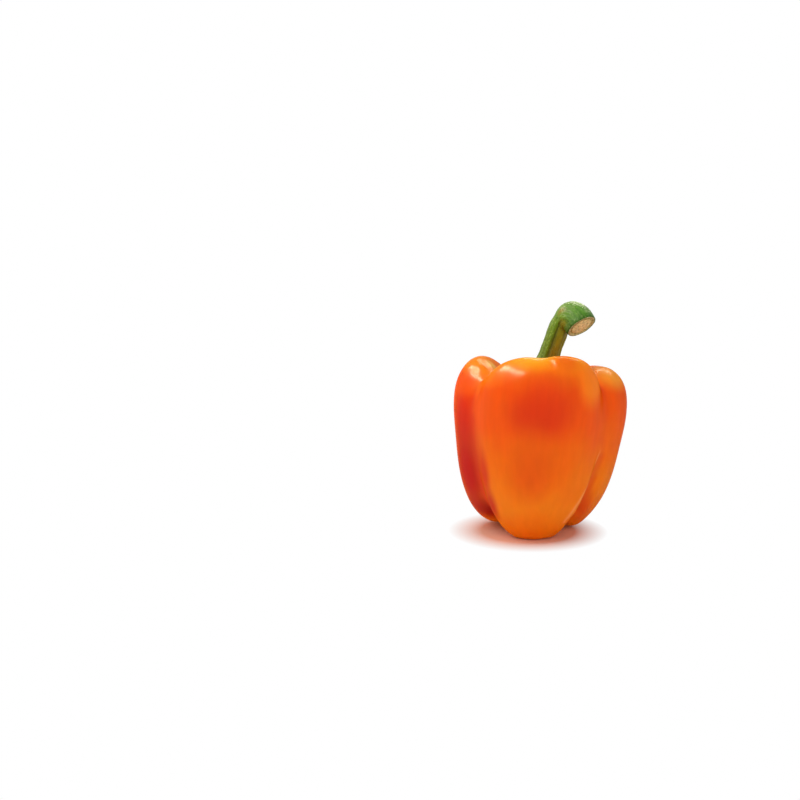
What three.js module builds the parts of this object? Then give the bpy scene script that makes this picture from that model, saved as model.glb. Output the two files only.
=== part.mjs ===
// A ripe orange bell pepper as picked: a four-lobed fruit standing on the feet of its lobes,
// a ruffled calyx in the hollow of its shoulders, and a ridged stem that hooks over to a
// flared, cut end. Millimetres, +Z up. Everything is drawn about the fruit's own axis, and at
// the end the origin moves to the middle of the ground that the pepper stands on.
import * as THREE from "three";

// ---- driving dimensions -------------------------------------------------------------------

const MERIDIANS = 88; // skin points around the fruit
const RINGS = 50; // skin points from the stem's seat to the blossom end
const CROWDING = 0.07; // how far the meridians crowd towards the creases between lobes
const PRESSED = 0.4; // how much of each foot the fruit's weight has pressed flat
const GAP = 0.3; // between pieces that grow from each other
const HEART = 46; // the height of the middle of the fruit
const OUTSIDE = 110; // from the heart to where the ways in to the skin start
const CROSSING = 60; // how far up and down the axis the steepest ways in aim

// Each lobe swells into one or two cheeks, and a cheek is an egg beside the axis, from a foot
// to a crown. Both ends are given as their direction from the axis in degrees seen from above,
// their distance from the axis, and their height. Depth and width are the egg's half sizes,
// outwards and across; taper is how much of them it loses at the foot and gains at the crown;
// blunt is how square its foot and its crown are, where 2 is an ellipse. The lobes are the
// front one, the right, the back and the left.
const LOBES = [
  [
    { foot: [-118, 21, 2.5], crown: [-108, 28, 93], depth: 18, width: 23, taper: 0.12, blunt: [2.4, 3.2] },
    { foot: [-90, 17, -0.6], crown: [-80, 28, 98.3], depth: 18, width: 24, taper: 0.24, blunt: [2.1, 2.7] },
  ],
  [{ foot: [20, 14.5, -1], crown: [4, 28, 86.2], depth: 20, width: 26, taper: 0.15, blunt: [2.5, 2.9] }],
  [
    { foot: [78, 17, 2], crown: [74, 27, 82.5], depth: 18, width: 21, taper: 0.12, blunt: [2.4, 2.8] },
    { foot: [116, 20, -0.8], crown: [106, 27, 81], depth: 18, width: 21, taper: 0.12, blunt: [2.4, 2.8] },
  ],
  [{ foot: [155, 21.5, 1.2], crown: [174, 27.5, 91.5], depth: 19, width: 26, taper: 0.08, blunt: [3, 3] }],
];
// Shallow dips in the shoulders: direction and spread in degrees, height, reach and depth.
const DIPS = [
  { angle: -97, spread: 13, height: 98, reach: 14, depth: 1.5 },
  { angle: 200, spread: 9, height: 92, reach: 10, depth: 1 },
  { angle: 12, spread: 10, height: 87, reach: 9, depth: 0.8 },
];
const CHEEK_BLEND = 4; // over how many millimetres two cheeks of one lobe run together
const CREASE_BLEND = 0.8; // and two lobes, at the shoulders and the base
const WAIST_BLEND = 1.6; // and how much more softly at the waist
const WAIST = { height: 55, reach: 18 };
const CORE = { top: 84, foot: 5, radius: 23 }; // the flesh between the lobes

// The hollow round the stem, and the dimple of the blossom end: the height and radius of the
// floor, how much wider they get per millimetre out from it, and how round their edges are.
const HOLLOW = { floor: 77, radius: 17, opening: 0.55, blend: 3.2 };
const DIMPLE = { floor: 5.5, radius: 0, opening: 2, blend: 3 };

// The calyx is a plate that turns up into a ruffled rim.
const CALYX = { plate: 1.2, neck: 12, rim: 13.9, lip: 0.9, height: 4, points: 90 };
const RUFFLES = { count: 9, depth: 0.9, lift: 0.5, sway: 0.9 };

// The stem rises from the axis, leans, and turns over about its pivot, an inner crease.
const STEM_FOOT = new THREE.Vector3(0, 0, HOLLOW.floor + CALYX.plate + 4 * GAP);
const STEM_RISE = new THREE.Vector3(1.8, 0, 88);
const STEM_BEND = new THREE.Vector3(8.7, 0, 105.3);
const TURN_AXIS = new THREE.Vector3(0.583, 0.781, -0.221).normalize();
const TURN = 121; // degrees
const SHAFT_RADIUS = 5.3;
const HEAD_RADIUS = 8.2; // at the cut
const PIVOT_CLEAR = 0.8; // from the inner side of the turn to the crease
const RIDGES = 5;
const RIDGE_HEIGHT = 0.06; // of the shaft's radius
const STEM_POINTS = 40; // around the stem

const RADIANS = Math.PI / 180;

// ---- helpers ------------------------------------------------------------------------------

// The smaller of some values, running together over about the blend where two are alike.
function softMin(values, blend) {
  const least = Math.min(...values);
  const sum = values.reduce((total, value) => total + Math.exp((least - value) / blend), 0);
  return least - blend * Math.log(sum);
}

function softMax(a, b, blend) {
  return -softMin([-a, -b], blend);
}

// A closed skin over rings of points: the first and last ring are one point each.
function closedSkin(rings) {
  const around = rings[1].length;
  const points = rings.flat().flatMap((p) => [p.x, p.y, p.z]);
  const last = rings.flat().length - 1;
  const index = (ring, i) => 1 + (ring - 1) * around + (i % around);
  const faces = [];
  for (let i = 0; i < around; i += 1) {
    faces.push(0, index(1, i), index(1, i + 1));
    faces.push(last, index(rings.length - 2, i + 1), index(rings.length - 2, i));
    for (let ring = 1; ring < rings.length - 2; ring += 1) {
      faces.push(index(ring, i), index(ring + 1, i), index(ring + 1, i + 1));
      faces.push(index(ring, i), index(ring + 1, i + 1), index(ring, i + 1));
    }
  }
  const geometry = new THREE.BufferGeometry();
  geometry.setAttribute("position", new THREE.Float32BufferAttribute(points, 3));
  geometry.setIndex(faces);
  return geometry;
}

// ---- the fruit ----------------------------------------------------------------------------

// How far a point is outside a cheek, about in millimetres, and negative inside it.
function outsideCheek(point, { foot, crown, depth, width, taper, blunt }) {
  const half = (crown[2] - foot[2]) / 2;
  const level = (point.z - foot[2]) / half - 1;
  const share = (level + 1) / 2;
  const angle = THREE.MathUtils.lerp(foot[0], crown[0], share) * RADIANS;
  const middle = THREE.MathUtils.lerp(foot[1], crown[1], share);
  const spread = 1 + taper * THREE.MathUtils.clamp(level, -1.5, 1.5);
  const out = (point.x * Math.cos(angle) + point.y * Math.sin(angle) - middle) / (depth * spread);
  const across = (point.y * Math.cos(angle) - point.x * Math.sin(angle)) / (width * spread);
  const power = level > 0 ? blunt[1] : blunt[0];
  return (Math.sqrt(out * out + across * across + Math.abs(level) ** power) - 1) * depth;
}

function outsideCore(point) {
  const half = (CORE.top - CORE.foot) / 2;
  const level = (point.z - CORE.foot) / half - 1;
  const out = Math.hypot(point.x, point.y) / CORE.radius;
  return (Math.sqrt(out * out + level ** 4) - 1) * CORE.radius;
}

// How deep a point is in the open space of the hollow or the dimple, negative in the flesh.
function insideRecess(point, outOfFloor, { radius, opening, blend }) {
  const within = radius + outOfFloor * opening - Math.hypot(point.x, point.y);
  return softMin([outOfFloor, within * 0.8], blend);
}

function dipDepth(point) {
  const direction = Math.atan2(point.y, point.x) / RADIANS;
  return DIPS.reduce((total, { angle, spread, height, reach, depth }) => {
    const aside = (THREE.MathUtils.euclideanModulo(direction - angle + 180, 360) - 180) / spread;
    const above = (point.z - height) / reach;
    return total + depth * Math.exp(-aside * aside - above * above);
  }, 0);
}

function outsideFruit(point) {
  const fromWaist = (point.z - WAIST.height) / WAIST.reach;
  const crease = CREASE_BLEND + WAIST_BLEND * Math.exp(-(fromWaist ** 2));
  const lobes = LOBES.map((cheeks) => {
    const outside = cheeks.map((cheek) => outsideCheek(point, cheek));
    return softMin(outside, CHEEK_BLEND);
  });
  const flesh = softMin([...lobes, outsideCore(point)], crease);
  const hollowed = softMax(
    flesh + dipDepth(point),
    insideRecess(point, point.z - HOLLOW.floor, HOLLOW),
    HOLLOW.blend,
  );
  return softMax(hollowed, insideRecess(point, DIMPLE.floor - point.z, DIMPLE), DIMPLE.blend);
}

// The first skin that a straight way from outside meets.
function skinPoint(from, to) {
  const at = (share) => new THREE.Vector3().lerpVectors(from, to, share);
  const step = 1 / from.distanceTo(to);
  let inner = 0;
  while (inner < 1 && outsideFruit(at(inner)) > 0) inner += step;
  let outer = inner - step;
  for (let halving = 0; halving < 20; halving += 1) {
    const middle = (inner + outer) / 2;
    if (outsideFruit(at(middle)) > 0) outer = middle;
    else inner = middle;
  }
  return at(inner);
}

// The height of the skin at a place in the hollow.
function seatHeight(x, y) {
  const above = new THREE.Vector3(x, y, HEART + OUTSIDE);
  return skinPoint(above, new THREE.Vector3(x, y, HEART)).z;
}

// Ways in run down almost upright into the hollow, level at the waist, and up at the base.
function fruitRings() {
  const rings = [];
  for (let ring = 0; ring <= RINGS; ring += 1) {
    const polar = (Math.PI * ring) / RINGS;
    const start = HEART + OUTSIDE * Math.cos(polar);
    const reach = OUTSIDE * Math.sin(polar);
    const aim = new THREE.Vector3(0, 0, HEART - CROSSING * Math.cos(polar) ** 3);
    const count = ring === 0 || ring === RINGS ? 1 : MERIDIANS;
    const points = [];
    for (let m = 0; m < count; m += 1) {
      const even = (2 * Math.PI * m) / MERIDIANS;
      const around = even + CROWDING * Math.sin(LOBES.length * even);
      const from = new THREE.Vector3(reach * Math.cos(around), reach * Math.sin(around), start);
      const point = skinPoint(from, aim);
      point.z = Math.max(point.z, PRESSED);
      points.push(point);
    }
    rings.push(points);
  }
  return rings;
}

// ---- the calyx ----------------------------------------------------------------------------

// A plate on the seat with an upstanding rim, ruffled like a collar.
function calyxRings() {
  const { plate, neck, rim, lip, height } = CALYX;
  const profile = [
    [0, 0, 0],
    [neck * 0.5, 0, 0],
    [neck, 0, 0],
    [rim - lip * 0.4, 0.5, 0.2],
    [rim + lip * 0.5, height * 0.5, 0.6],
    [rim + lip * 0.7, height * 0.9, 1],
    [rim + lip * 0.2, height, 1],
    [rim - lip * 0.4, height * 0.85, 1],
    [rim - lip * 0.7, height * 0.5, 0.6],
    [neck, plate, 0],
    [neck * 0.5, plate, 0],
    [0, plate, 0],
  ];
  return profile.reverse().map(([radius, rise, loose]) => {
    const count = radius === 0 ? 1 : CALYX.points;
    return Array.from({ length: count }, (_, i) => {
      const around = (2 * Math.PI * i) / count;
      const wave = Math.cos(RUFFLES.count * around + 1.1 * Math.sin(2 * around));
      const sway = Math.cos(5 * around + 1);
      const r = radius + loose * RUFFLES.depth * wave;
      const lift = loose * (RUFFLES.lift * wave + RUFFLES.sway * sway);
      const x = r * Math.cos(around);
      const y = r * Math.sin(around);
      return new THREE.Vector3(x, y, seatHeight(x, y) + GAP + rise + lift);
    });
  });
}

// ---- the stem -----------------------------------------------------------------------------

// A section of the stem: its middle, the way it faces, its radius and how far its ridges stand.
function section(middle, facing, radius, ridged) {
  return { middle: middle.clone(), facing: facing.clone().normalize(), radius, ridged };
}

function stemSections() {
  const shaft = new THREE.QuadraticBezierCurve3(STEM_FOOT, STEM_RISE, STEM_BEND);
  const up = new THREE.Vector3(0, 0, 1);
  const sections = [0, 5, 9.6].map((radius) => section(STEM_FOOT, up, radius, 0));
  const swelling = [[0.03, 11], [0.07, 11], [0.12, 10.1], [0.17, 8.8], [0.23, 7.5], [0.31, 6.5], [0.41, 5.8]];
  for (const [along, radius] of swelling) {
    const way = up.clone().lerp(shaft.getTangent(along), along * 2);
    sections.push(section(shaft.getPoint(along), way, radius, 0.6));
  }
  for (const along of [0.52, 0.64, 0.76, 0.88, 1]) {
    sections.push(section(shaft.getPoint(along), shaft.getTangent(along), SHAFT_RADIUS, 1));
  }
  const facing = shaft.getTangent(1);
  const outwards = new THREE.Vector3().crossVectors(facing, TURN_AXIS);
  const pivot = STEM_BEND.clone().addScaledVector(outwards, -SHAFT_RADIUS - PIVOT_CLEAR);
  const steps = 9;
  for (let step = 1; step <= steps; step += 1) {
    const share = step / steps;
    const radius = THREE.MathUtils.lerp(SHAFT_RADIUS, HEAD_RADIUS, share ** 0.75);
    const arm = outwards.clone().applyAxisAngle(TURN_AXIS, TURN * RADIANS * share);
    const middle = pivot.clone().addScaledVector(arm, radius + PIVOT_CLEAR);
    const way = facing.clone().applyAxisAngle(TURN_AXIS, TURN * RADIANS * share);
    sections.push(section(middle, way, radius, 1 - 0.8 * share));
  }
  const end = sections.at(-1);
  const cut = [[1.2, 8.15], [1.9, 7.8], [2.1, 7.2], [1.8, 6.4], [1.8, 3], [1.8, 0]];
  for (const [along, radius] of cut) {
    const middle = end.middle.clone().addScaledVector(end.facing, along);
    sections.push(section(middle, end.facing, radius, 0.2));
  }
  return sections;
}

function stemRings() {
  return stemSections().reverse().map(({ middle, facing, radius, ridged }) => {
    const side = TURN_AXIS.clone().addScaledVector(facing, -TURN_AXIS.dot(facing)).normalize();
    const over = new THREE.Vector3().crossVectors(facing, side);
    const count = radius === 0 ? 1 : STEM_POINTS;
    return Array.from({ length: count }, (_, i) => {
      const around = (2 * Math.PI * i) / count;
      const r = radius * (1 + ridged * RIDGE_HEIGHT * Math.cos(RIDGES * around));
      const point = middle.clone().addScaledVector(side, r * Math.cos(around));
      return point.addScaledVector(over, r * Math.sin(around));
    });
  });
}

// ---- the group ----------------------------------------------------------------------------

const finishes = {
  fruit: new THREE.MeshStandardMaterial({ color: "#ef5a1c", roughness: 0.22, metalness: 0 }),
  calyx: new THREE.MeshStandardMaterial({ color: "#3f6b1e", roughness: 0.55, metalness: 0 }),
  stem: new THREE.MeshStandardMaterial({ color: "#5a8a28", roughness: 0.45, metalness: 0 }),
};

const pepper = new THREE.Group();
for (const [name, rings] of [["fruit", fruitRings()], ["calyx", calyxRings()], ["stem", stemRings()]]) {
  const mesh = new THREE.Mesh(closedSkin(rings), finishes[name]);
  mesh.name = name;
  pepper.add(mesh);
}

const box = new THREE.Box3().setFromObject(pepper);
const middle = box.getCenter(new THREE.Vector3());
for (const mesh of pepper.children) mesh.position.set(-middle.x, -middle.y, -box.min.z);

export default pepper;
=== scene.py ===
import math

import bpy
import numpy as np
from mathutils import Matrix, Vector, noise


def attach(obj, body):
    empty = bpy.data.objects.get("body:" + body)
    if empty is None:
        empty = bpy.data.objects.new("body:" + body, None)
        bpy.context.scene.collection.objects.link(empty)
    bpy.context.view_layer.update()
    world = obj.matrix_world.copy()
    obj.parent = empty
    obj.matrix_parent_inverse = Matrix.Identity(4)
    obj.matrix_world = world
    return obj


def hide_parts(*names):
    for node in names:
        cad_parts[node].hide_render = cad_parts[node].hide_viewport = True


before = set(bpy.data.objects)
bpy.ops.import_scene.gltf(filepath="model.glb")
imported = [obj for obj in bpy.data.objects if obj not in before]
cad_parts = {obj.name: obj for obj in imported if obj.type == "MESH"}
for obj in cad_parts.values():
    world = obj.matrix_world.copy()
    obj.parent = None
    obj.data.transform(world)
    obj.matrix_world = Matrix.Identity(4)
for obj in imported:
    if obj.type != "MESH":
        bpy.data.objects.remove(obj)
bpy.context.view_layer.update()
mm = 0.001


def linear(hexColour):  # sRGB hex to the linear colour that a shader takes
    parts = [int(hexColour[i:i + 2], 16) / 255 for i in (1, 3, 5)]
    return tuple(c / 12.92 if c <= 0.04045 else ((c + 0.055) / 1.055) ** 2.4 for c in parts) + (1.0,)


def addNode(tree, kind, settings={}, links={}):  # one node, its settings and what comes into it
    node = tree.nodes.new("ShaderNode" + kind)
    for name, value in settings.items():
        if name == "stops":
            while len(node.color_ramp.elements) < len(value):
                node.color_ramp.elements.new(1.0)
            for element, (place, colour) in zip(node.color_ramp.elements, value):
                element.position = place
                element.color = linear(colour) if isinstance(colour, str) else (colour, colour, colour, 1)
        elif isinstance(name, str) and hasattr(node, name):
            setattr(node, name, value)
        else:
            node.inputs[name].default_value = value
    for name, socket in links.items():
        tree.links.new(socket, node.inputs[name])
    return node


def newMaterial(name):
    material = bpy.data.materials.new(name)
    material.use_nodes = True
    material.node_tree.nodes.clear()
    return material, material.node_tree


def pickOnly(piece):
    if bpy.context.object and bpy.context.object.mode != "OBJECT":
        bpy.ops.object.mode_set(mode="OBJECT")
    bpy.ops.object.select_all(action="DESELECT")
    piece.select_set(True)
    bpy.context.view_layer.objects.active = piece


def copyOfNode(node, name):  # a CAD node's mesh as a piece of its own, its loose triangles merged
    pickOnly(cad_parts[node])
    bpy.ops.object.duplicate()
    piece = bpy.context.object
    for key in list(piece.keys()):
        del piece[key]
    piece.parent = None
    piece.matrix_world = Matrix.Identity(4)
    piece.name = piece.data.name = name
    bpy.ops.object.mode_set(mode="EDIT")
    bpy.ops.mesh.select_all(action="SELECT")
    bpy.ops.mesh.remove_doubles(threshold=0.001 * mm)
    bpy.ops.mesh.tris_convert_to_quads(face_threshold=math.radians(60), shape_threshold=math.radians(60))
    bpy.ops.object.mode_set(mode="OBJECT")
    return piece


def applied(piece, kind, **settings):
    pickOnly(piece)
    modifier = piece.modifiers.new(kind.title(), kind)
    for name, value in settings.items():
        setattr(modifier, name, value)
    bpy.ops.object.modifier_apply(modifier=modifier.name)


def places(piece):
    flat = np.zeros(len(piece.data.vertices) * 3)
    piece.data.vertices.foreach_get("co", flat)
    return flat.reshape(-1, 3)


def normals(piece):
    flat = np.zeros(len(piece.data.vertices) * 3)
    piece.data.vertices.foreach_get("normal", flat)
    return flat.reshape(-1, 3)


def moveTo(piece, points):
    piece.data.vertices.foreach_set("co", points.ravel())
    piece.data.update()


def keepNumbers(piece, name, numbers):  # a number for each vertex, for the materials
    layer = piece.data.attributes.new(name, "FLOAT", "POINT")
    layer.data.foreach_set("value", np.asarray(numbers, np.float32))


def keepUpright(piece, points):  # the places in mm before the stalk is bent, for the materials
    layer = piece.data.attributes.new("upright", "FLOAT_VECTOR", "POINT")
    layer.data.foreach_set("vector", points.ravel().astype(np.float32))


def newPiece(name):  # names the primitive that was just added, and opens it for editing
    piece = bpy.context.object
    piece.name = piece.data.name = name
    bpy.ops.object.mode_set(mode="EDIT")
    bpy.ops.mesh.select_all(action="SELECT")
    return piece


def faceOutwards():
    if bpy.context.object.mode != "EDIT":
        bpy.ops.object.mode_set(mode="EDIT")
    bpy.ops.mesh.select_all(action="SELECT")
    bpy.ops.mesh.normals_make_consistent(inside=False)
    bpy.ops.object.mode_set(mode="OBJECT")


def soften(piece, numbers, times):  # a number or place for each vertex, spread over its neighbours
    pairs = np.zeros(len(piece.data.edges) * 2, np.int32)
    piece.data.edges.foreach_get("vertices", pairs)
    a, b = pairs.reshape(-1, 2).T
    count = np.bincount(a, minlength=len(numbers)) + np.bincount(b, minlength=len(numbers))
    numbers = np.array(numbers, float).reshape(len(numbers), -1)
    for _ in range(times):
        total = np.zeros_like(numbers)
        np.add.at(total, a, numbers[b])
        np.add.at(total, b, numbers[a])
        numbers = 0.5 * numbers + 0.5 * total / count[:, None]
    return numbers.squeeze()


def bump(value, middle, width):  # 1 in the middle, down to 0 either side
    return np.exp(-((value - middle) / width) ** 2)


def angleFrom(angles, middle):  # in degrees, the short way round
    return (angles - middle + 180) % 360 - 180


def noisy(points, size, seed=0):  # soft noise, from about -1 to 1, with lumps of that size
    return np.array([noise.noise(Vector((p[0] / size, p[1] / size, p[2] / size + seed))) for p in points])


def between(value, low, high, soft):  # 1 between the two, softly down to 0 outside
    return 1 / (1 + np.exp((low - value) / soft)) / (1 + np.exp((value - high) / soft))


def finish(piece, material, slot, *replaced):
    piece.data.materials.clear()
    piece.data.materials.append(material)
    pickOnly(piece)
    bpy.ops.object.shade_smooth()
    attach(piece, "root")
    for node in replaced:
        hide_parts(node)
    print(piece.name, len(piece.data.polygons), "faces")


fruitLook = {  # in mm
    "levels": 2,  # of smoothing over the CAD faces
    # lumps and ripples: how wide, how high, and their width as a share of how tall they are
    "relief": [(17, 0.45, 0.55), (5, 0.1, 0.25)],
    "feet": 6,  # up to this height the relief fades, so that the feet keep their flats
    "dimpleSize": 1.3,  # the skin's own fine texture
    "dimpleDepth": 0.01,
    # folds pressed into or raised on the shoulders and grooves: from, to, half width and rise
    "folds": [
        ((-7, -27, 93), (-7, -38, 90), 6.5, 1.1),
        ((27, -25, 45), (16, -24.5, 15), 4.5, 0.8),
        ((26, -25, 35), (9, -25, 5), 5, 0.9),
        ((30, -18.5, 41), (19, -12, 12), 4, -0.5),
        ((27, -17, 29), (19, -12, 12), 3.4, -0.6),
        ((-31, -18, 80), (-34, -20, 66), 3, 0.8),
        ((-32.5, -8, 85.3), (-31, -12, 83.5), 5, 0.8),
    ],
    # small places of the shoulders that face their own way: middle, the way faced, half width
    "facets": [
        ((-32.3, -9.2, 85.2), (-0.48, -0.62, 0.62), 3.2),
        ((-26.9, -4.7, 86.6), (0.2, -0.25, 0.95), 2.4),
        ((2.2, -35.9, 94.3), (-0.45, -0.62, 0.64), 2.8),
        ((3.8, -38.6, 92.2), (-0.43, -0.62, 0.65), 2.6),
    ],
    # the edge where the front lobe laps over the one beside it, and how strong and wide the highlight painted
    # along it is
    "lobeEdge": [(27.4, -21.4, 46), (25.6, -23, 34), (20.4, -26.2, 24.5), (16.2, -26.8, 18), (11, -26.2, 10)],
    "rimHighlightStrength": 0.6,
    "rimHighlightWidth": 1,
    "creaseDepth": 0.6,  # as deep as this, a groove has all of its painted shade colour
    "creaseSpread": 60,  # how far round it the skin is averaged, in steps from vertex to vertex
    "tall": 100,  # its colours upwards are at shares of this height
    # lighter and more golden towards the top, where light falls from above, and low down, where the floor
    # throws light back: partly painted light over the skin's own orange
    "upright": [(0.0, "#ea6400"), (0.2, "#f07a08"), (0.42, "#f06802"), (0.62, "#f05404"), (0.76, "#ee5206"),
                (0.86, "#f67408"), (0.94, "#fc9008")],
    "wander": 6,  # how far the bands of colour swing up and down
    "wanderSize": 24,
    "mottle": 4,  # the width of its faint upright streaks
    # patches of colour: middle, half sizes and colour. Some are painted light and shade, as marked above them
    "patches": [
        ((-2, -45, 74), (26, 34, 26), "#e64408"),
        ((-4, -46, 68.5), (21, 28, 17), "#dc3808"),
        ((-8, -46, 40), (18, 24, 30), "#e45804"),
        # painted shade: the left lobe deepens to red down its outer side and towards the floor
        ((-42, -14, 63), (14, 15, 25), "#e03004"),
        ((-41, -12, 28), (25, 25, 52), "#c01604"),
        # painted shade along the low left edge of the front lobe, beside the left lobe
        ((-29.5, -24, 36), (5, 8, 20), "#d83c04"),
        ((-26, -22.5, 16), (6, 8, 18), "#cc3404"),
        # painted shade: dark red low on the left, where the fruit meets the floor
        ((-34, -8, 8), (13, 14, 17), "#b41804"),
        ((-25, -9, 10), (10, 10, 13), "#a01402"),
        ((21, -13, 6), (9, 10, 36), "#e05008"),
        # painted light: the right shoulder of the front lobe lightened
        ((22, -34, 83), (11, 15, 17), "#ff7e16"),
        # the golden top of the front lobe: partly its own colour, partly painted light falling from above
        ((-6, -29, 96), (19, 18, 13), "#f8a21c"),
        # painted shadow of the stalk on the front lobe's top
        ((9, -37, 93), (11, 9, 9), "#f06c0c"),
        # a pale golden band along the right lobe's top: painted highlight over its own golden colour
        ((37, -4, 83), (16, 23, 12), "#fc9626"),
        # painted shade, redder on the upper outer side of the left lobe
        ((-41, -9, 80), (14, 22, 12), "#f05008"),
        # the golden top of the left lobe: partly its own colour, partly painted light falling from above
        ((-29, -2, 87), (15, 20, 10), "#fa8412"),
        # painted highlight on the left lobe's top
        ((-24, -2, 87), (7, 8, 6), "#ffb850"),
    ],
    # painted shade: the deeper red laid into the grooves
    "creaseShadeColour": "#dc3400",
    "rimHighlightColour": "#ffa058",  # a painted highlight along the lapping edge, standing in for the white floor's reflection there
    "roughness": 0.25,  # of the wax
    # how glossy the wax is, from facing the eye to its edge-on rims
    "gloss": [(0.0, 0.2), (0.5, 0.2), (0.68, 0.1), (0.84, 0.1), (1.0, 0.75)],
    "waxIor": 1.5,
}


def distanceToLine(points, start, end):
    start, end = np.array(start, float), np.array(end, float)
    along = np.clip((points - start) @ (end - start) / ((end - start) @ (end - start)), 0, 1)
    return np.linalg.norm(points - (start + along[:, None] * (end - start)), axis=1)


def makeFruit():
    fruit = copyOfNode("fruit", "fruitSkin")
    applied(fruit, "SUBSURF", levels=fruitLook["levels"], render_levels=fruitLook["levels"])
    points, outwards = places(fruit), normals(fruit)
    rise = np.zeros(len(points))
    for start, end, width, height in fruitLook["folds"]:
        rise += height * mm * bump(distanceToLine(points / mm, start, end), 0, width)
    for size, height, squeeze in fruitLook["relief"]:
        rise += height * mm * noisy(points * [1, 1, squeeze], size * mm)
    standing = np.clip(points[:, 2] / (fruitLook["feet"] * mm), 0, 1)
    moveTo(fruit, points + outwards * (rise * standing)[:, None])
    for middle, facing, width in fruitLook["facets"]:  # tilts the skin there until it faces that way
        points, outwards = places(fruit), normals(fruit)
        offset = points / mm - middle
        near = bump(np.linalg.norm(offset, axis=1), 0, width)
        present = (outwards * near[:, None]).sum(axis=0)
        present /= np.linalg.norm(present)
        facing = np.array(facing) / np.linalg.norm(facing)
        slope = facing / (facing @ present) - present
        moveTo(fruit, points - outwards * (offset @ slope * mm * near)[:, None])
    points, outwards = places(fruit), normals(fruit)
    # how deep each place lies in a groove, for the shade painted there
    hollow = ((soften(fruit, points, fruitLook["creaseSpread"]) - points) * outwards).sum(axis=1)
    keepNumbers(fruit, "crease", np.clip(hollow / (fruitLook["creaseDepth"] * mm), 0, 1))
    # a painted highlight along the edge where the front lobe laps over the next
    edge = fruitLook["lobeEdge"]
    away = np.min([distanceToLine(points / mm, *ends) for ends in zip(edge, edge[1:])], axis=0)
    keepNumbers(fruit, "rim", fruitLook["rimHighlightStrength"] * bump(away, 0, fruitLook["rimHighlightWidth"]))
    return fruit


def waxySkin():
    # ripe pepper skin, grown: a clear wax over even flesh, so sharp lights over a deep warm colour. Painted
    # light and shade are laid into its colour as well
    material, tree = newMaterial("waxy pepper skin")
    coords = addNode(tree, "TexCoord").outputs["Object"]
    height = addNode(tree, "SeparateXYZ", {}, {0: coords}).outputs["Z"]
    wander = addNode(tree, "TexNoise", {"Scale": 1 / (fruitLook["wanderSize"] * mm), "Detail": 2.0},
                     {"Vector": coords})
    swing = fruitLook["wander"] * mm
    swung = addNode(tree, "MapRange", {"From Min": 0.3, "From Max": 0.7, "To Min": -swing, "To Max": swing},
                    {"Value": wander.outputs["Fac"]})
    level = addNode(tree, "Math", {"operation": "ADD"}, {0: height, 1: swung.outputs[0]}).outputs[0]
    share = addNode(tree, "MapRange", {"From Max": fruitLook["tall"] * mm}, {"Value": level}).outputs[0]
    colour = addNode(tree, "ValToRGB", {"stops": fruitLook["upright"]}, {"Fac": share}).outputs["Color"]
    for middle, reach, patchColour in fruitLook["patches"]:
        place = addNode(tree, "Mapping", {"vector_type": "TEXTURE", "Location": Vector(middle) * mm,
                                          "Scale": Vector(reach) * mm}, {"Vector": coords})
        patch = addNode(tree, "TexGradient", {"gradient_type": "SPHERICAL"}, {"Vector": place.outputs[0]})
        eased = addNode(tree, "MapRange", {"interpolation_type": "SMOOTHSTEP", "From Max": 0.8},
                        {"Value": patch.outputs["Fac"]})
        colour = addNode(tree, "Mix", {"data_type": "RGBA", 7: linear(patchColour)},
                         {0: eased.outputs[0], 6: colour}).outputs[2]
    # the grooves painted a deeper red, as shade
    crease = addNode(tree, "Attribute", {"attribute_name": "crease"}).outputs["Fac"]
    creaseShaded = addNode(tree, "Mix", {"data_type": "RGBA", 7: linear(fruitLook["creaseShadeColour"])},
                      {0: crease, 6: colour})
    # the painted highlight along the lapping edge
    rim = addNode(tree, "Attribute", {"attribute_name": "rim"}).outputs["Fac"]
    rimHighlighted = addNode(tree, "Mix", {"data_type": "RGBA", 7: linear(fruitLook["rimHighlightColour"])},
                     {0: rim, 6: creaseShaded.outputs[2]})
    drawnUp = addNode(tree, "Mapping", {"Scale": (1, 1, 0.2)}, {"Vector": coords}).outputs[0]
    mottle = addNode(tree, "TexNoise", {"Scale": 1 / (fruitLook["mottle"] * mm), "Detail": 3.0},
                     {"Vector": drawnUp})
    faint = addNode(tree, "ValToRGB", {"stops": [(0.3, 0.965), (0.7, 1.035)]}, {"Fac": mottle.outputs["Fac"]})
    mottled = addNode(tree, "Mix", {"data_type": "RGBA", "blend_type": "MULTIPLY", 0: 1.0},
                      {6: rimHighlighted.outputs[2], 7: faint.outputs["Color"]})
    fine = addNode(tree, "TexNoise", {"Scale": 1 / (fruitLook["dimpleSize"] * mm), "Detail": 3.0},
                   {"Vector": coords})
    dimples = addNode(tree, "Bump", {"Distance": fruitLook["dimpleDepth"] * mm, "Strength": 1.0},
                      {"Height": fine.outputs["Fac"]})
    facing = addNode(tree, "LayerWeight", {"Blend": 0.5}).outputs["Facing"]
    gloss = addNode(tree, "ValToRGB", {"stops": fruitLook["gloss"]}, {"Fac": facing}).outputs["Color"]
    skin = addNode(tree, "BsdfPrincipled", {
        "Roughness": 0.5, "Specular IOR Level": 0.0, "Subsurface Weight": 0.15,
        "Subsurface Radius": (1.0, 0.25, 0.08), "Subsurface Scale": 3 * mm,
        "Coat Roughness": fruitLook["roughness"], "Coat IOR": fruitLook["waxIor"]},
        {"Base Color": mottled.outputs[2], "Coat Weight": gloss, "Normal": dimples.outputs[0],
         "Coat Normal": dimples.outputs[0]})
    addNode(tree, "OutputMaterial", {}, {"Surface": skin.outputs[0]})
    return material


fruit = makeFruit()
finish(fruit, waxySkin(), "fruit_skin", "fruit")

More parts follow.
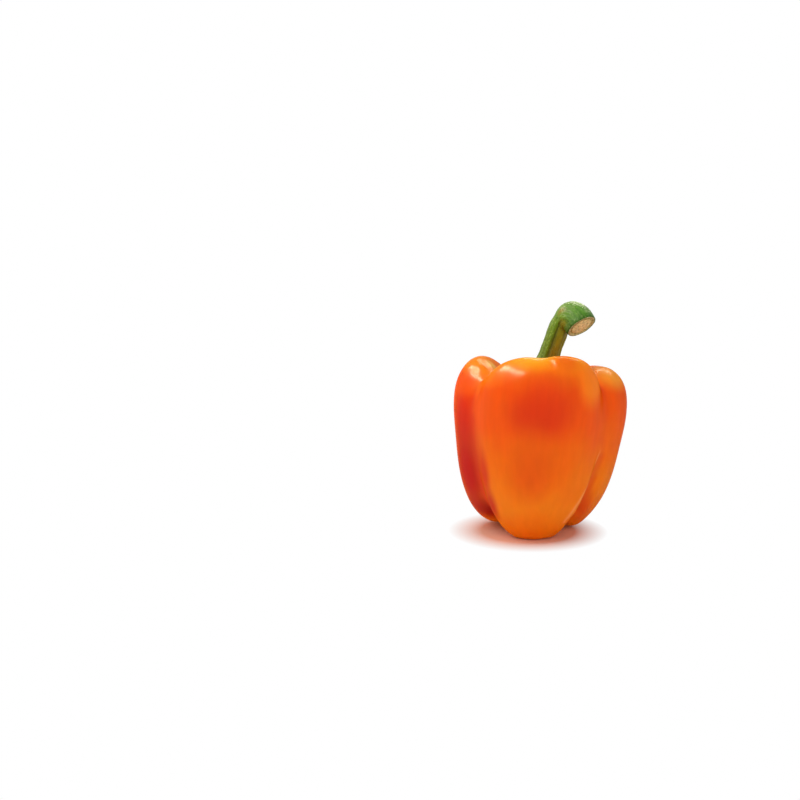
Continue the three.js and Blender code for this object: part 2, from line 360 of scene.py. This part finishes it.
# The stalk is drawn upright and then bent along its way: up from its foot, leaning, and over
# about a tight inner crease.
stalkLook = {  # in mm and degrees
    # the shaft's three places, and the line that the head turns about, by this much
    "way": {"foot": (0.8, 1, 79), "rise": (2.7, 1, 87.6), "bend": (8.7, 1, 104.6),
            "turnAxis": (0.583, 0.781, -0.221)},
    "turn": 121,
    "shaftRadius": 5.6,
    "headRadius": 7.6,
    "clear": 0.3,  # from the inner crease to the axis that the head turns about
    "swell": (0.16, 0.46),  # where in the turn the head starts to swell, and over how much of it
    "steps": 60,  # along the shaft, and as many again round the bend
    "around": 72,
    "profile": [  # how far along, and how wide
        (0, 9), (0.4, 10.6), (1, 11.2), (1.8, 11.3), (2.6, 10.9), (3.4, 10.1), (4.2, 9), (5, 8),
        (6, 7.1), (7, 6.5), (8, 6.15), (9.2, 5.95), (10.5, 5.8), (12, 5.7), (14, 5.65), (16, 5.6), (18, 5.6),
        (20, 5.6), (22, 5.6), (24, 5.6), (26, 5.6), (27.5, 5.6), (28.5, 5.62), (29.5, 5.75),
        (30.5, 6), (31.5, 6.4), (32.5, 6.9), (33.5, 7.4), (34.5, 7.75), (35.5, 8), (36.5, 8.1), (38, 8.15),
        (39.5, 8.2), (41, 8.25), (42.2, 8.3), (43.3, 8.3), (44, 8.25), (44.5, 8.1), (44.8, 7.95),
        (44.7, 7.75), (44, 7.5)],
    "endInsets": [0.5, 2, 2],  # the rings that keep the end flat
    "fullFrom": 3,  # the relief grows from the foot up to here
    "cutFade": (47, 4),  # and fades towards this height, over this much, to leave the cut plain
    # angle round, height and half width of each ridge up the shaft
    "ridges": [(164, 0.2, 10), (187, 0.4, 10), (204, -0.4, 6), (245, 0.35, 20), (275, -0.2, 8),
               (295, 0.3, 12), (340, 0.4, 13), (38, 0.35, 13), (88, 0.35, 13), (125, 0.35, 13)],
    "ridgesFullest": (17, 13, 0.35),  # height, half width, and how much of them is left elsewhere
    "footFolds": (5.5, 3.2, 0.9),  # height, half width, and depth as a share of the ridge's height
    "wrinkles": (31, 3.5, 0.16),  # of the inner crease: height, half width and depth
    "wrinkleTurns": 3.1,  # radians for each mm up, so about 2 mm apart
    "grainWidth": 0.55,
    "grainHeight": 0.06,
    "grainSqueeze": 0.12,  # its width as a share of its length
    "lumps": [(5, 0.18, 7), (1.7, 0.1, 3)],  # size, height and seed
    "headLumps": (1.1, 0.12, 5),
    "streakWidth": 10 / 11,  # eleven streaks of colour to the centimetre, each ten times as long
    "fleckSize": 10 / 9,
    "tall": 46,  # its colours upwards are at shares of this height
    # darker green towards the cut: partly its own colour, partly painted shade along the head's edge
    "upright": [(0.0, "#74861c"), (0.25, "#627a10"), (0.5, "#627e12"), (0.72, "#6c9420"), (0.82, "#5e9024"),
                (0.9, "#548628"), (1.0, "#2e5414")],
    # the colours of its marks, one laid over the other; the dark line is painted shade down a groove, and a
    # scratch
    "marks": {"olive": "#8a8416", "fresh": "#829c22", "brown": "#965e10", "line": "#464a0c",
              "bruise": "#9a861c"},
    # pale flecks: partly painted glints of the stalk's mottled sheen, partly its own pale flecks
    "pale": "#a8be68",
}


def stalkFrames():  # places along the way, with the stalk's two own directions across at each
    way = {name: np.array(value, float) for name, value in stalkLook["way"].items()}
    shaft, clear, steps = stalkLook["shaftRadius"], stalkLook["clear"], stalkLook["steps"]
    swellFrom, swellOver = stalkLook["swell"]
    axis = way["turnAxis"] / np.linalg.norm(way["turnAxis"])
    middles, facings = [], []
    for share in np.linspace(0, 1, steps):  # the shaft, a curve through its three places
        middles.append((1 - share) ** 2 * way["foot"] + 2 * share * (1 - share) * way["rise"]
                       + share ** 2 * way["bend"])
        facing = (1 - share) * (way["rise"] - way["foot"]) + share * (way["bend"] - way["rise"])
        facings.append(facing / np.linalg.norm(facing))
    outer = np.cross(facings[-1], axis)
    outer /= np.linalg.norm(outer)
    pivot = way["bend"] - outer * (shaft + clear)
    for share in np.linspace(0, 1, steps)[1:]:  # the head, which swells as it turns about the crease
        turned = np.array(Matrix.Rotation(math.radians(stalkLook["turn"]) * share, 3, Vector(axis)))
        swell = min(max((share - swellFrom) / swellOver, 0), 1)
        radius = shaft + (stalkLook["headRadius"] - shaft) * swell * swell * (3 - 2 * swell)
        middles.append(pivot + turned @ outer * (radius + clear))
        facings.append(turned @ facings[steps - 1])
    middles.append(middles[-1] + facings[-1] * 4)  # and straight on, past the cut
    facings.append(facings[-1])
    middles, facings = np.array(middles), np.array(facings)
    sides = axis - (facings @ axis)[:, None] * facings
    sides /= np.linalg.norm(sides, axis=1)[:, None]
    overs = np.cross(facings, sides)
    lengths = np.linalg.norm(np.diff(middles, axis=0), axis=1)
    return np.concatenate([[0], np.cumsum(lengths)]), middles, sides, overs, facings


def bent(points):  # upright places in mm, taken round the bend, in metres
    along, middles, sides, overs, facings = stalkFrames()

    def at(rows):
        return np.stack([np.interp(points[:, 2], along, rows[:, i]) for i in range(3)], axis=1)

    beyond = np.minimum(points[:, 2], 0)[:, None]
    place = at(middles) + at(sides) * points[:, :1] + at(overs) * points[:, 1:2] + at(facings) * beyond
    return place * mm


def markStalk(stalk, turn, z):
    # where each colour of the stalk lies, in degrees round and mm up: from one place to another, or about one
    keepNumbers(stalk, "olive", between(z, 9, 35, 1.2) * between(turn, 207, 300, 4))
    keepNumbers(stalk, "brown", between(z, 2, 20, 1.5) * between(turn, 198, 262, 5))
    # painted shade: the dark line down the groove at 204 degrees
    groove = 0.7 * bump(turn, 204, 6) * between(z, 12, 35, 1)
    scratch = 0.4 * bump(turn, 222, 3) * between(z, 8, 22, 2)
    keepNumbers(stalk, "line", groove + scratch)
    keepNumbers(stalk, "fresh", between(turn, 125, 192, 6) * between(z, 8, 34, 3))
    elbow = bump(turn, 162, 12) * bump(z, 34.6, 1.6)
    underHead = 0.7 * bump(turn, 214, 22) * bump(z, 37.5, 5)
    keepNumbers(stalk, "bruise", elbow + underHead)


def makeStalk():
    profile = stalkLook["profile"]
    bpy.ops.object.select_all(action="DESELECT")
    bpy.ops.mesh.primitive_circle_add(vertices=stalkLook["around"], radius=profile[0][1], fill_type="NGON")
    stalk = newPiece("stalk")
    for (low, narrow), (high, wide) in zip(profile, profile[1:]):
        bpy.ops.mesh.extrude_region_move(TRANSFORM_OT_translate={"value": (0, 0, high - low)})
        bpy.ops.transform.resize(value=(wide / narrow, wide / narrow, 1))
    for inset in stalkLook["endInsets"]:
        bpy.ops.mesh.inset(thickness=inset)
    faceOutwards()
    applied(stalk, "SUBSURF", levels=2, render_levels=2)
    points = places(stalk)
    keepUpright(stalk, points)
    x, y, z = points.T
    radius, angle = np.hypot(x, y), np.degrees(np.arctan2(y, x))
    fadedAt, fadedOver = stalkLook["cutFade"]
    fullness = np.clip(z / stalkLook["fullFrom"], 0, 1) * np.clip((fadedAt - z) / fadedOver, 0, 1)
    fullest, spread, least = stalkLook["ridgesFullest"]
    shaft = fullness * (least + (1 - least) * bump(z, fullest, spread))
    foldAt, foldSpread, foldDepth = stalkLook["footFolds"]
    rise = np.zeros(len(points))
    for middle, height, width in stalkLook["ridges"]:
        away = angleFrom(angle, middle)
        rise += height * shaft * (bump(away, 0, width) - 0.3)
        # folds where the shaft runs out over the swollen foot
        rise += foldDepth * abs(height) * bump(z, foldAt, foldSpread) * bump(away, 0, width * 0.8)
    inner = np.clip(-np.sin(np.radians(angle)), 0, 1)
    wrinkleAt, wrinkleSpread, wrinkleDepth = stalkLook["wrinkles"]
    wrinkled = bump(z, wrinkleAt, wrinkleSpread) * np.sin(z * stalkLook["wrinkleTurns"])
    rise += wrinkleDepth * inner * wrinkled
    grain = points * [1, 1, stalkLook["grainSqueeze"]]
    rise += stalkLook["grainHeight"] * fullness * noisy(grain, stalkLook["grainWidth"])
    for size, height, seed in stalkLook["lumps"]:
        rise += fullness * height * noisy(points, size, seed)
    size, height, seed = stalkLook["headLumps"]
    rise += fullness * height * np.clip((z - 30) / 6, 0, 1) * noisy(points, size, seed)
    across = points[:, :2] / np.maximum(radius, 0.01)[:, None]
    points[:, :2] += across * (rise * np.clip(radius / 5, 0, 1))[:, None]
    moveTo(stalk, bent(points))
    markStalk(stalk, np.mod(angle + 5 * noisy(points, 3, 21), 360), z + 2 * noisy(points, 4, 33))
    return stalk


def greenStalk():
    # fresh pedicel skin, grown: a tight satin green with fine upright grain, browned where it was rubbed
    material, tree = newMaterial("green stalk skin")
    upright = addNode(tree, "Attribute", {"attribute_name": "upright"}).outputs["Vector"]
    height = addNode(tree, "SeparateXYZ", {}, {0: upright}).outputs["Z"]
    stretched = addNode(tree, "Mapping", {"Scale": (1, 1, 0.1)}, {"Vector": upright}).outputs[0]
    streaks = addNode(tree, "TexNoise", {"Scale": 1 / stalkLook["streakWidth"], "Detail": 3.0,
                                         "Roughness": 0.6}, {"Vector": stretched}).outputs["Fac"]
    flecks = addNode(tree, "TexNoise", {"Scale": 1 / stalkLook["fleckSize"], "Detail": 4.0,
                                        "Roughness": 0.65}, {"Vector": upright}).outputs["Fac"]
    along = addNode(tree, "MapRange", {"From Max": stalkLook["tall"]}, {"Value": height}).outputs[0]
    colour = addNode(tree, "ValToRGB", {"stops": stalkLook["upright"]}, {"Fac": along}).outputs["Color"]
    patchy = addNode(tree, "ValToRGB", {"stops": [(0.42, 0.0), (0.6, 1.0)]}, {"Fac": flecks}).outputs["Color"]
    broken = {"fresh": patchy, "brown": streaks}  # these marks aren't solid
    for mark, markColour in stalkLook["marks"].items():
        share = addNode(tree, "Attribute", {"attribute_name": mark}).outputs["Fac"]
        if mark in broken:
            share = addNode(tree, "Math", {"operation": "MULTIPLY"}, {0: share, 1: broken[mark]}).outputs[0]
        colour = addNode(tree, "Mix", {"data_type": "RGBA", 7: linear(markColour)},
                         {0: share, 6: colour}).outputs[2]
    shade = addNode(tree, "ValToRGB", {"stops": [(0.3, 0.6), (0.62, 1.0)]}, {"Fac": streaks})
    colour = addNode(tree, "Mix", {"data_type": "RGBA", "blend_type": "MULTIPLY", 0: 1.0},
                     {6: colour, 7: shade.outputs["Color"]}).outputs[2]
    # pale flecks, partly painted glints of its sheen
    pale = addNode(tree, "ValToRGB", {"stops": [(0.58, 0.0), (0.75, 0.5)]}, {"Fac": flecks})
    colour = addNode(tree, "Mix", {"data_type": "RGBA", 7: linear(stalkLook["pale"])},
                     {0: pale.outputs["Color"], 6: colour}).outputs[2]
    grain = addNode(tree, "Bump", {"Distance": 0.06 * mm, "Strength": 1.0}, {"Height": streaks})
    skinBump = addNode(tree, "Bump", {"Distance": 0.08 * mm, "Strength": 1.0},
                       {"Height": flecks, "Normal": grain.outputs[0]})
    gloss = addNode(tree, "MapRange", {"To Min": 0.42, "To Max": 0.56}, {"Value": flecks})
    surface = addNode(tree, "BsdfPrincipled", {
        "IOR": 1.45, "Specular IOR Level": 0.15, "Subsurface Weight": 0.1,
        "Subsurface Radius": (0.5, 1.0, 0.2), "Subsurface Scale": 1 * mm},
        {"Base Color": colour, "Roughness": gloss.outputs[0], "Normal": skinBump.outputs[0]})
    addNode(tree, "OutputMaterial", {}, {"Surface": surface.outputs[0]})
    return material


cutLook = {  # in mm
    "along": 44.6,  # where the knife went through the stalk
    "radius": 7.7,
    "around": 64,
    "thickness": 0.3,
    "sink": 0.35,  # how far its underside lies inside the stalk
    "insets": [0.3, 0.5, 0.5, 0.5, 0.5, 0.6, 0.6, 0.6, 0.6, 0.6, 0.6],
    # radius, height and half width of the rind's rim, the ring where the wood shrank and the pith's swell
    "rings": [(7.1, 0.2, 0.5), (6.2, -0.35, 0.45), (0, 0.15, 5)],
    "roughness": [(1.6, 0.3), (0.5, 0.12)],  # size and height
    "fibreSize": 10 / 6,  # six to the centimetre
    "wide": 8,  # its colours outwards are at shares of this radius
    # the palest ring at the edge is the rind's own pale line, lightened further by a painted highlight where
    # the cut's edge catches the light
    "outwards": [(0.0, "#e6ca8e"), (0.66, "#dcc080"), (0.73, "#907a3e"), (0.8, "#bca868"), (0.88, "#c0b47c"),
                 (0.92, "#8c7c44"), (0.965, "#ece6b8")],
    "wander": 0.4,  # how far those rings of colour swing in and out
}


def makeCutFace():
    thickness = cutLook["thickness"]
    bpy.ops.object.select_all(action="DESELECT")
    bpy.ops.mesh.primitive_circle_add(vertices=cutLook["around"], radius=cutLook["radius"], fill_type="NGON")
    face = newPiece("cutFace")
    bpy.ops.mesh.extrude_region_move(TRANSFORM_OT_translate={"value": (0, 0, thickness)})
    for inset in cutLook["insets"]:
        bpy.ops.mesh.inset(thickness=inset)
    faceOutwards()
    applied(face, "SUBSURF", levels=2, render_levels=2)
    points = places(face)
    keepUpright(face, points)
    radius = np.hypot(points[:, 0], points[:, 1])
    top = np.clip(points[:, 2] / thickness, 0, 1)
    points[:, 2] += top * sum(height * bump(radius, at, width) for at, height, width in cutLook["rings"])
    points[:, 2] += top * sum(height * noisy(points, size) for size, height in cutLook["roughness"])
    points[:, 2] += cutLook["along"] - cutLook["sink"]
    moveTo(face, bent(points))
    return face


def cutPith():
    # a stalk cut with a knife and left to dry: tan cracked pith, a dark ring round it and a pale rind, its
    # edge lightened further by a painted highlight
    material, tree = newMaterial("dried cut pith")
    upright = addNode(tree, "Attribute", {"attribute_name": "upright"}).outputs["Vector"]
    flat = addNode(tree, "Mapping", {"Scale": (1, 1, 0)}, {"Vector": upright}).outputs[0]
    reach = addNode(tree, "VectorMath", {"operation": "LENGTH"}, {0: flat}).outputs["Value"]
    rough = addNode(tree, "TexNoise", {"Scale": 1 / cutLook["fibreSize"], "Detail": 4.0, "Roughness": 0.7},
                    {"Vector": flat})
    wander = addNode(tree, "MapRange", {"To Min": -cutLook["wander"], "To Max": cutLook["wander"]},
                     {"Value": rough.outputs["Fac"]})
    ring = addNode(tree, "Math", {"operation": "ADD"}, {0: reach, 1: wander.outputs[0]})
    share = addNode(tree, "MapRange", {"From Max": cutLook["wide"]}, {"Value": ring.outputs[0]})
    rings = addNode(tree, "ValToRGB", {"stops": cutLook["outwards"]}, {"Fac": share.outputs[0]})
    patches = addNode(tree, "ValToRGB", {"stops": [(0.38, 0.66), (0.62, 1.22)]},
                      {"Fac": rough.outputs["Fac"]})
    coloured = addNode(tree, "Mix", {"data_type": "RGBA", "blend_type": "MULTIPLY", 0: 1.0},
                       {6: rings.outputs["Color"], 7: patches.outputs["Color"]})
    fibre = addNode(tree, "Bump", {"Distance": 0.15 * mm, "Strength": 1.0}, {"Height": rough.outputs["Fac"]})
    surface = addNode(tree, "BsdfPrincipled", {"Roughness": 0.75, "Specular IOR Level": 0.3},
                      {"Base Color": coloured.outputs[2], "Normal": fibre.outputs[0]})
    addNode(tree, "OutputMaterial", {}, {"Surface": surface.outputs[0]})
    return material


finish(makeStalk(), greenStalk(), "stem_skin", "stem")
finish(makeCutFace(), cutPith(), "stem_skin")

calyxLook = {  # in mm and degrees
    "around": 216,
    # distance from the axis, height over the seat, and how much it crinkles
    "profile": [(8, 0.4, 0), (11, 0.5, 0), (12, 0.7, 0.1), (12.7, 1.3, 0.3), (13.1, 2.1, 0.5), (13.4, 3, 0.7),
                (13.8, 3.8, 0.85), (14.3, 4.5, 1), (14.9, 4.8, 1), (15.5, 4.7, 1)],
    "points": [(-52, 4.5, 11), (42, 3.5, 11), (137, 4, 11), (-153, 4.5, 10), (-100, 1.5, 9), (92, 1.2, 9),
               (-8, 1.5, 8), (180, 1.2, 8)],  # angle, reach and half width of each tip
    "ruffles": 17,
    "crinkleSize": 1.9,
    "crinkleHeight": 0.6,
    "lowest": 0.35,  # over the fruit, so that the two don't touch
    "thickness": 0.55,
    "puckerSize": 1.4,  # of the leaf's fine texture
    "puckerDepth": 0.25,
    "outwards": [(0.0, "#1a3408"), (0.4, "#254c0c"), (0.72, "#356814"), (0.9, "#5e8c2c"), (1.0, "#9cb45c")],
    "wander": 0.25,  # how far those colours swing in and out, as a share of the way across
}


def seatUnder(fruit, x, y):
    aboveAll = 150
    hit, place, _, _ = fruit.ray_cast(Vector((x, y, aboveAll)) * mm, Vector((0, 0, -1)))
    return place.z / mm if hit else 0


def makeCalyx(fruit):
    profile = calyxLook["profile"]
    middleX, middleY = stalkLook["way"]["foot"][:2]
    bpy.ops.object.select_all(action="DESELECT")
    bpy.ops.mesh.primitive_circle_add(vertices=calyxLook["around"], radius=profile[0][0])
    calyx = newPiece("calyxCollar")
    for (narrow, *_), (wide, *_) in zip(profile, profile[1:]):  # each ring a step up, to tell them apart
        bpy.ops.mesh.extrude_region_move(TRANSFORM_OT_translate={"value": (0, 0, 1)})
        bpy.ops.transform.resize(value=(wide / narrow, wide / narrow, 1))
    bpy.ops.object.mode_set(mode="OBJECT")
    points = places(calyx)
    ring = np.round(points[:, 2]).astype(int)
    angle = np.degrees(np.arctan2(points[:, 1], points[:, 0]))
    rows = np.array(profile, float)
    radius, height, loose = rows[ring].T
    # ruffles of uneven width, and a slower sway
    wave = np.cos(np.radians(calyxLook["ruffles"] * angle) + 1.7 * np.sin(np.radians(2 * angle)))
    sway = np.cos(np.radians(5 * angle + 60))
    tips = sum(reach * bump(angleFrom(angle, middle), 0, width)
               for middle, reach, width in calyxLook["points"])
    edge = np.clip((ring - 4) / 5, 0, 1)
    radius = radius + loose * (0.55 * wave + 0.3 * sway) + edge ** 1.5 * tips
    height = height + loose * (0.5 * wave + 0.6 * sway) - 0.35 * edge * tips
    x = middleX + radius * np.cos(np.radians(angle))
    y = middleY + radius * np.sin(np.radians(angle))
    crinkle = noisy(np.stack([x, y, 1.5 * height], axis=1), calyxLook["crinkleSize"], 11)
    height = np.maximum(height + calyxLook["crinkleHeight"] * loose * crinkle, calyxLook["lowest"])
    z = np.array([seatUnder(fruit, a, b) for a, b in zip(x, y)]) + height
    moveTo(calyx, np.stack([x, y, z], axis=1) * mm)
    keepNumbers(calyx, "edge", ring / (len(profile) - 1))
    faceOutwards()
    applied(calyx, "SOLIDIFY", thickness=calyxLook["thickness"] * mm, offset=0)
    applied(calyx, "SUBSURF", levels=1, render_levels=1)
    return calyx


def crinkledLeaf():
    # a calyx gone leathery: dark crinkled green, paler and drier along its edge
    material, tree = newMaterial("crinkled calyx leaf")
    coords = addNode(tree, "TexCoord").outputs["Object"]
    puckers = addNode(tree, "TexNoise", {"Scale": 1 / (calyxLook["puckerSize"] * mm), "Detail": 4.0},
                      {"Vector": coords}).outputs["Fac"]
    edge = addNode(tree, "Attribute", {"attribute_name": "edge"}).outputs["Fac"]
    wander = addNode(tree, "MapRange", {"To Min": -calyxLook["wander"], "To Max": calyxLook["wander"]},
                     {"Value": puckers})
    place = addNode(tree, "Math", {"operation": "ADD"}, {0: edge, 1: wander.outputs[0]})
    leaf = addNode(tree, "ValToRGB", {"stops": calyxLook["outwards"]}, {"Fac": place.outputs[0]})
    bumps = addNode(tree, "Bump", {"Distance": calyxLook["puckerDepth"] * mm, "Strength": 1.0},
                    {"Height": puckers})
    surface = addNode(tree, "BsdfPrincipled", {"Roughness": 0.42, "Specular IOR Level": 0.4},
                      {"Base Color": leaf.outputs["Color"], "Normal": bumps.outputs[0]})
    addNode(tree, "OutputMaterial", {}, {"Surface": surface.outputs[0]})
    return material


finish(makeCalyx(fruit), crinkledLeaf(), "calyx_leaf", "calyx")

scarLook = {  # in mm
    "radius": 3.4,
    "thickness": 1.3,
    "puckers": 9,
    "puckerDepth": 0.12,  # as a share of the radius
    "sink": 0.2,  # how far its middle lies inside the fruit
    "corkSize": 0.9,
    "corkDepth": 0.2,
    "cork": [(0.35, "#4a3014"), (0.5, "#8a6432"), (0.7, "#b8935c")],
}


def makeBlossomScar(fruit):  # the dry button left by the flower, in the hollow underneath
    bpy.ops.object.select_all(action="DESELECT")
    bpy.ops.mesh.primitive_uv_sphere_add(segments=64, ring_count=32, radius=1)
    scar = bpy.context.object
    scar.name = scar.data.name = "blossomScar"
    points = places(scar)
    angle = np.arctan2(points[:, 1], points[:, 0])
    reach = np.hypot(points[:, 0], points[:, 1])
    pucker = 1 + scarLook["puckerDepth"] * reach * np.cos(scarLook["puckers"] * angle)
    pucker = pucker + 0.1 * noisy(points, 0.5, 4)
    across = points[:, :2] * (scarLook["radius"] * pucker)[:, None]
    down = scarLook["thickness"] * (points[:, 2] + 0.25 * bump(reach, 0, 0.35) + 0.2 * noisy(points, 0.3, 9))
    hits = [fruit.ray_cast(Vector((x * mm, y * mm, -0.01)), Vector((0, 0, 1)))[1].z / mm for x, y in across]
    z = np.array(hits) + scarLook["sink"] - down
    moveTo(scar, np.stack([across[:, 0], across[:, 1], z], axis=1) * mm)
    faceOutwards()
    return scar


def dryScar():
    # corky scar tissue, dried: rough tan brown, darker in its puckers
    material, tree = newMaterial("dry blossom scar")
    coords = addNode(tree, "TexCoord").outputs["Object"]
    cork = addNode(tree, "TexNoise", {"Scale": 1 / (scarLook["corkSize"] * mm), "Detail": 4.0},
                   {"Vector": coords}).outputs["Fac"]
    colour = addNode(tree, "ValToRGB", {"stops": scarLook["cork"]}, {"Fac": cork})
    bumps = addNode(tree, "Bump", {"Distance": scarLook["corkDepth"] * mm, "Strength": 1.0},
                    {"Height": cork})
    surface = addNode(tree, "BsdfPrincipled", {"Roughness": 0.8, "Specular IOR Level": 0.2},
                      {"Base Color": colour.outputs["Color"], "Normal": bumps.outputs[0]})
    addNode(tree, "OutputMaterial", {}, {"Surface": surface.outputs[0]})
    return material


finish(makeBlossomScar(fruit), dryScar(), "calyx_leaf")

stageLook = {  # in metres, watts and degrees
    "floorSize": 6.0,
    "shadow": (24 * mm, 41 * mm),  # the floor's painted shade and glow round the pepper fade to plain white between these distances from its middle
    "shadowMiddle": (-6 * mm, -5 * mm, 0),
    # the floor near the pepper: a darker, warmer colour painted in as shade, and an orange glow painted over
    # it as light thrown back off the fruit
    "shadowColour": "#cfa08a",
    "bounceGlowStrength": 0.1,
    "bounceGlowColour": "#f07848",
    "tableColour": "#f2f0ee",
    "worldLight": 0.38,
    "lampAim": 50 * mm,  # the height that every lamp is aimed at
    # aside is the angle round from the camera's side, to the right
    "lamps": {
        "overhead": {"size": (1.3, 1.3), "distance": 1.3, "aside": -95, "elevation": 52, "power": 13,
                     "rays": "matte"},
        "front": {"size": (2.4, 2.4), "distance": 2.0, "aside": 18, "elevation": 32, "power": 20,
                  "rays": "matte"},
        "rear": {"size": (0.8, 0.4), "distance": 1.3, "aside": 165, "elevation": 36, "power": 18,
                 "rays": "gloss", "colour": "#fff0d6"},
        "gleam": {"size": (1.5, 0.17), "distance": 1.1, "aside": -95, "elevation": 48, "roll": 12,
                  "power": 52, "rays": "gloss", "colour": "#fff2d2"},
    },
}
# the camera, from the front: its distance and tilt, and the place that it looks at
viewLook = {"distance": 0.9, "elevation": 11, "lens": 78.8, "aside": -72 * mm, "depth": 4.6 * mm,
            "height": 66.7 * mm}


def seenDirectly(tree):  # 1 where the camera sees it, straight or in gloss or glass, and 0 for its light
    seen = addNode(tree, "LightPath")
    cameraOrGlossy = addNode(tree, "Math", {"operation": "MAXIMUM"},
                             {0: seen.outputs["Is Camera Ray"], 1: seen.outputs["Is Glossy Ray"]})
    return addNode(tree, "Math", {"operation": "MAXIMUM"},
                   {0: cameraOrGlossy.outputs[0], 1: seen.outputs["Is Transmission Ray"]}).outputs[0]


def makeTable():
    bpy.ops.mesh.primitive_plane_add(size=stageLook["floorSize"])
    table = bpy.context.object
    table.name = "table"
    material, tree = newMaterial("white card")
    coords = addNode(tree, "TexCoord").outputs["Object"]
    reach = addNode(tree, "VectorMath", {"operation": "DISTANCE", 1: stageLook["shadowMiddle"]},
                    {0: coords}).outputs["Value"]
    far = addNode(tree, "MapRange", {"From Min": stageLook["shadow"][0], "From Max": stageLook["shadow"][1]},
                  {"Value": reach}).outputs[0]
    shown = seenDirectly(tree)
    card = addNode(tree, "BsdfDiffuse", {"Color": linear(stageLook["tableColour"])})
    # near the pepper the floor is painted shade with a painted orange glow over it
    dim = addNode(tree, "BsdfDiffuse", {"Color": linear(stageLook["shadowColour"])})
    glow = addNode(tree, "Emission", {"Color": linear(stageLook["bounceGlowColour"]),
                                      "Strength": stageLook["bounceGlowStrength"]})
    shaded = addNode(tree, "AddShader", {}, {0: dim.outputs[0], 1: glow.outputs[0]})
    white = addNode(tree, "Emission", {"Strength": 1.0})
    blended = addNode(tree, "MixShader", {}, {0: far, 1: shaded.outputs[0], 2: white.outputs[0]})
    picked = addNode(tree, "MixShader", {}, {0: shown, 1: card.outputs[0], 2: blended.outputs[0]})
    addNode(tree, "OutputMaterial", {}, {"Surface": picked.outputs[0]})
    table.data.materials.append(material)


def makeWorld():
    world = bpy.data.worlds.new("white studio")
    bpy.context.scene.world = world
    world.use_nodes = True
    tree = world.node_tree
    tree.nodes.clear()
    shown = seenDirectly(tree)
    strength = addNode(tree, "MapRange", {"To Min": stageLook["worldLight"], "To Max": 1.0},
                       {"Value": shown})
    light = addNode(tree, "Background", {"Color": (1, 1, 1, 1)}, {"Strength": strength.outputs[0]})
    addNode(tree, "OutputWorld", {}, {"Surface": light.outputs[0]})


def addLamp(name, size, distance, aside, elevation, power, roll=0, rays="all", colour="#ffffff"):
    aim = Vector((0, 0, stageLook["lampAim"]))
    turn, up = math.radians(aside), math.radians(elevation)
    out = Vector((math.sin(turn) * math.cos(up), -math.cos(turn) * math.cos(up), math.sin(up)))
    light = bpy.data.lights.new(name, "AREA")
    light.shape = "RECTANGLE"
    light.size, light.size_y = size
    light.energy = power
    light.color = linear(colour)[:3]
    lamp = bpy.data.objects.new(name, light)
    bpy.context.scene.collection.objects.link(lamp)
    lamp.location = aim + out * distance
    facing = out.to_track_quat("Z", "Y").to_matrix() @ Matrix.Rotation(math.radians(roll), 3, "Z")
    lamp.rotation_euler = facing.to_euler()
    lamp.visible_diffuse = rays != "gloss"
    lamp.visible_glossy = rays != "matte"


def makeCamera():
    camera = bpy.data.objects.new("camera", bpy.data.cameras.new("camera"))
    bpy.context.scene.collection.objects.link(camera)
    camera.data.lens = viewLook["lens"]
    tilt = math.radians(viewLook["elevation"])
    aim = Vector((viewLook["aside"], viewLook["depth"], viewLook["height"]))
    camera.location = aim + viewLook["distance"] * Vector((0, -math.cos(tilt), math.sin(tilt)))
    camera.rotation_euler = (math.radians(90) - tilt, 0, 0)
    camera.data.clip_end = 20
    bpy.context.scene.camera = camera


makeTable()
makeWorld()
for name, lamp in stageLook["lamps"].items():
    addLamp(name, **lamp)
makeCamera()
bpy.context.scene.view_settings.view_transform = "Standard"
print("stage set, with", len(stageLook["lamps"]), "lamps")
